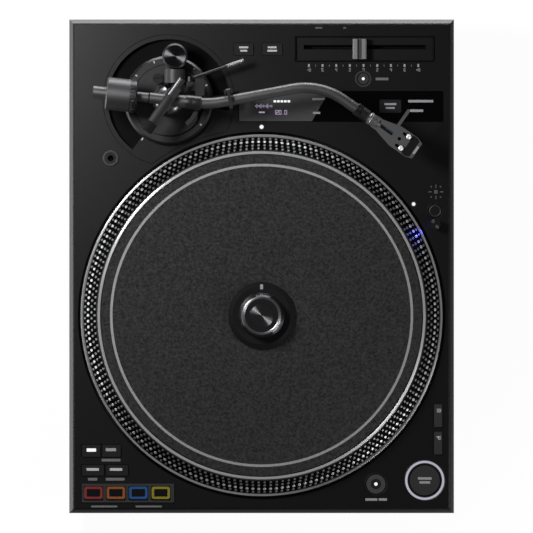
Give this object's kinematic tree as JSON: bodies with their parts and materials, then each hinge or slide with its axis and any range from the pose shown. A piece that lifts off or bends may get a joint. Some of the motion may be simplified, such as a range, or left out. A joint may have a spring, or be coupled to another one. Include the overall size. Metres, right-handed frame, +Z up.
{
  "type": "direct drive turntable",
  "caption": "Black direct drive turntable with an S-shaped tonearm, strobe-dotted platter, slipmat, record clamp, tempo fader, display and pads.",
  "frame": {"origin": "on the table under the middle of the plinth", "axes": "+Z up, +Y from the front edge to the back edge, +X to the right as seen from the front"},
  "size_m": [0.353, 0.453, 0.159],
  "materials": {
    "deck_paint": "satin black paint",
    "base_plastic": "fine grained moulding",
    "foot_plastic": "turned cup",
    "rubber": "soft pad",
    "steel": "bright steel",
    "socket_metal": "plated sockets",
    "board": "printed board",
    "coil": "wound wire",
    "bearing_metal": "turned housing",
    "panel_plastic": "satin moulding",
    "gloss_black": "polished window",
    "light_guide": "lit diffuser",
    "platter_metal": "cast and polished",
    "felt": "pressed felt",
    "magnet": "ferrite",
    "clamp_plastic": "satin moulding",
    "clamp_metal": "black anodised",
    "arm_black": "satin black paint",
    "knob_metal": "turned knob",
    "arm_metal": "satin anodised tube",
    "weight_metal": "dark plated",
    "sleeve_brass": "threaded",
    "lead": "thin insulated leads",
    "button_plastic": "satin moulding",
    "pad_red": "lit edge",
    "pad_orange": "lit edge",
    "pad_blue": "lit edge",
    "pad_yellow": "lit edge"
  },
  "bodies": {
    "chassis": {"top_cabinet": "deck_paint", "base_chassis": "base_plastic", "foot_cups": "foot_plastic", "foot_pads": "rubber", "case_screws": "steel", "rear_sockets": "socket_metal", "circuit_boards": "board", "motor_stator": "coil", "bearing_housing": "bearing_metal", "arm_well": "deck_paint", "fader_unit": "panel_plastic", "display_window": "gloss_black", "light_guides": "light_guide", "strobe_lamp": "panel_plastic"},
    "power_switch": {"power_switch": "panel_plastic"},
    "platter": {"platter": "platter_metal", "slipmat": "felt", "spindle": "steel", "rotor_magnet": "magnet"},
    "clamp": {"clamp_disc": "clamp_plastic", "clamp_cap": "clamp_metal"},
    "height_ring": {"height_ring": "arm_black"},
    "arm_base": {"arm_platform": "arm_black", "anti_skate_housing": "arm_black", "arm_rest": "arm_black"},
    "height_lock": {"height_lock": "arm_black"},
    "anti_skate_knob": {"anti_skate_knob": "knob_metal"},
    "cue_lever": {"cue_lever": "arm_black"},
    "arm_lifter": {"arm_lifter": "arm_black"},
    "arm_clip": {"arm_clip": "panel_plastic"},
    "yoke": {"gimbal_yoke": "arm_black", "pivot_screws": "steel"},
    "arm": {"arm_tube": "arm_metal", "headshell": "clamp_metal", "cartridge": "panel_plastic", "stylus": "panel_plastic", "cartridge_screws": "steel", "headshell_leads": "lead"},
    "headshell_nut": {"headshell_nut": "clamp_metal"},
    "counterweight_sleeve": {"counterweight_sleeve": "sleeve_brass"},
    "counterweight": {"counterweight": "weight_metal"},
    "force_ring": {"force_ring": "weight_metal"},
    "tempo_knob": {"tempo_knob": "knob_metal"},
    "start_button": {"start_button": "button_plastic"},
    "speed_33_button": {"speed_33_button": "button_plastic"},
    "speed_45_button": {"speed_45_button": "button_plastic"},
    "reset_button": {"reset_button": "button_plastic"},
    "motor_off_button": {"motor_off_button": "button_plastic"},
    "range_button": {"range_button": "button_plastic"},
    "key_button": {"key_button": "button_plastic"},
    "mode_button": {"mode_button": "button_plastic"},
    "lamp_button": {"lamp_button": "button_plastic"},
    "function_button_1": {"function_button_1": "button_plastic"},
    "function_button_2": {"function_button_2": "button_plastic"},
    "function_button_3": {"function_button_3": "button_plastic"},
    "function_button_4": {"function_button_4": "button_plastic"},
    "pad_1": {"pad_1": "pad_red"},
    "pad_2": {"pad_2": "pad_orange"},
    "pad_3": {"pad_3": "pad_blue"},
    "pad_4": {"pad_4": "pad_yellow"}
  },
  "joints": [
    {"name": "platter_spin", "type": "hinge", "parent": "chassis", "child": "platter", "pos_m": [0, -0.045, 0.1], "axis": [0, 0, 1], "continuous": true},
    {"name": "clamp_lift", "type": "slide", "parent": "platter", "child": "clamp", "axis": [0, 0, 1], "range_m": [0, 0.02]},
    {"name": "power_rock", "type": "hinge", "parent": "chassis", "child": "power_switch", "pos_m": [-0.106, 0.2035, 0.0385], "axis": [0, 0, 1], "range_deg": [-8, 8]},
    {"name": "height_turn", "type": "hinge", "parent": "chassis", "child": "height_ring", "pos_m": [-0.0853, 0.1524, 0.1], "axis": [0, 0, 1], "range_deg": [0, 270]},
    {"name": "arm_base_rise", "type": "slide", "parent": "chassis", "child": "arm_base", "axis": [0, 0, 1], "range_m": [0, 0.006]},
    {"name": "height_lock_turn", "type": "hinge", "parent": "arm_base", "child": "height_lock", "pos_m": [-0.095, 0.172, 0.111], "axis": [0, 0, 1], "range_deg": [0, 90]},
    {"name": "anti_skate_turn", "type": "hinge", "parent": "arm_base", "child": "anti_skate_knob", "pos_m": [-0.0795, 0.1925, 0.12], "axis": [0, 0, 1], "range_deg": [0, 300]},
    {"name": "cue_lift", "type": "hinge", "parent": "arm_base", "child": "cue_lever", "pos_m": [-0.0657, 0.17165, 0.119], "axis": [0, -1, 0], "range_deg": [0, 50.1]},
    {"name": "lifter_rise", "type": "slide", "parent": "arm_base", "child": "arm_lifter", "axis": [0, 0, 1], "range_m": [0, 0.0012]},
    {"name": "clip_open", "type": "hinge", "parent": "arm_base", "child": "arm_clip", "pos_m": [-0.03047, 0.16017, 0.152], "axis": [-0.9833, -0.1822, 0], "range_deg": [0, 100]},
    {"name": "arm_swing", "type": "hinge", "parent": "arm_base", "child": "yoke", "pos_m": [-0.0853, 0.1524, 0.144], "axis": [0, 0, -1], "range_deg": [0, 40]},
    {"name": "arm_tilt", "type": "hinge", "parent": "yoke", "child": "arm", "pos_m": [-0.0853, 0.1524, 0.144], "axis": [-0.5807, -0.8141, 0], "range_deg": [0, 2.9]},
    {"name": "nut_turn", "type": "hinge", "parent": "arm", "child": "headshell_nut", "pos_m": [0.08643, 0.14444, 0.144], "axis": [0.8202, -0.5721, 0], "range_deg": [-60, 60]},
    {"name": "weight_travel", "type": "slide", "parent": "arm", "child": "counterweight_sleeve", "axis": [0.9945, -0.1045, 0], "range_m": [-0.0041, 0.0041]},
    {"name": "weight_turn", "type": "hinge", "parent": "counterweight_sleeve", "child": "counterweight", "pos_m": [-0.0853, 0.1524, 0.144], "axis": [0.9945, -0.1045, 0], "range_deg": [-720, 720]},
    {"name": "force_ring_turn", "type": "hinge", "parent": "counterweight", "child": "force_ring", "pos_m": [-0.0853, 0.1524, 0.144], "axis": [0.9945, -0.1045, 0], "continuous": true},
    {"name": "tempo_slide", "type": "slide", "parent": "chassis", "child": "tempo_knob", "axis": [1, 0, 0], "range_m": [-0.047, 0.053]},
    {"name": "start_button_press", "type": "slide", "parent": "chassis", "child": "start_button", "axis": [0, 0, -1], "range_m": [0, 0.0008], "stiffness_N_per_m": 400, "springref_m": -0.0005},
    {"name": "speed_33_button_press", "type": "slide", "parent": "chassis", "child": "speed_33_button", "axis": [0, 0, -1], "range_m": [0, 0.0008], "stiffness_N_per_m": 400, "springref_m": -0.0005},
    {"name": "speed_45_button_press", "type": "slide", "parent": "chassis", "child": "speed_45_button", "axis": [0, 0, -1], "range_m": [0, 0.0008], "stiffness_N_per_m": 400, "springref_m": -0.0005},
    {"name": "reset_button_press", "type": "slide", "parent": "chassis", "child": "reset_button", "axis": [0, 0, -1], "range_m": [0, 0.0008], "stiffness_N_per_m": 400, "springref_m": -0.0005},
    {"name": "motor_off_button_press", "type": "slide", "parent": "chassis", "child": "motor_off_button", "axis": [0, 0, -1], "range_m": [0, 0.0008], "stiffness_N_per_m": 400, "springref_m": -0.0005},
    {"name": "range_button_press", "type": "slide", "parent": "chassis", "child": "range_button", "axis": [0, 0, -1], "range_m": [0, 0.0008], "stiffness_N_per_m": 400, "springref_m": -0.0005},
    {"name": "key_button_press", "type": "slide", "parent": "chassis", "child": "key_button", "axis": [0, 0, -1], "range_m": [0, 0.0008], "stiffness_N_per_m": 400, "springref_m": -0.0005},
    {"name": "mode_button_press", "type": "slide", "parent": "chassis", "child": "mode_button", "axis": [0, 0, -1], "range_m": [0, 0.0008], "stiffness_N_per_m": 400, "springref_m": -0.0005},
    {"name": "lamp_button_press", "type": "slide", "parent": "chassis", "child": "lamp_button", "axis": [0, 0, -1], "range_m": [0, 0.0008], "stiffness_N_per_m": 400, "springref_m": -0.0005},
    {"name": "function_button_1_press", "type": "slide", "parent": "chassis", "child": "function_button_1", "axis": [0, 0, -1], "range_m": [0, 0.0008], "stiffness_N_per_m": 400, "springref_m": -0.0005},
    {"name": "function_button_2_press", "type": "slide", "parent": "chassis", "child": "function_button_2", "axis": [0, 0, -1], "range_m": [0, 0.0008], "stiffness_N_per_m": 400, "springref_m": -0.0005},
    {"name": "function_button_3_press", "type": "slide", "parent": "chassis", "child": "function_button_3", "axis": [0, 0, -1], "range_m": [0, 0.0008], "stiffness_N_per_m": 400, "springref_m": -0.0005},
    {"name": "function_button_4_press", "type": "slide", "parent": "chassis", "child": "function_button_4", "axis": [0, 0, -1], "range_m": [0, 0.0008], "stiffness_N_per_m": 400, "springref_m": -0.0005},
    {"name": "pad_1_press", "type": "slide", "parent": "chassis", "child": "pad_1", "axis": [0, 0, -1], "range_m": [0, 0.0008], "stiffness_N_per_m": 400, "springref_m": -0.0005},
    {"name": "pad_2_press", "type": "slide", "parent": "chassis", "child": "pad_2", "axis": [0, 0, -1], "range_m": [0, 0.0008], "stiffness_N_per_m": 400, "springref_m": -0.0005},
    {"name": "pad_3_press", "type": "slide", "parent": "chassis", "child": "pad_3", "axis": [0, 0, -1], "range_m": [0, 0.0008], "stiffness_N_per_m": 400, "springref_m": -0.0005},
    {"name": "pad_4_press", "type": "slide", "parent": "chassis", "child": "pad_4", "axis": [0, 0, -1], "range_m": [0, 0.0008], "stiffness_N_per_m": 400, "springref_m": -0.0005}
  ],
  "couplings": [
    {"joint": "height_turn", "follows": "arm_base_rise", "rad_per_m": 785},
    {"joint": "lifter_rise", "follows": "arm_tilt", "m_per_rad": 0.0233},
    {"joint": "cue_lift", "follows": "arm_tilt", "ratio": 17.24},
    {"joint": "weight_travel", "follows": "weight_turn", "m_per_rad": 0.00031831}
  ]
}
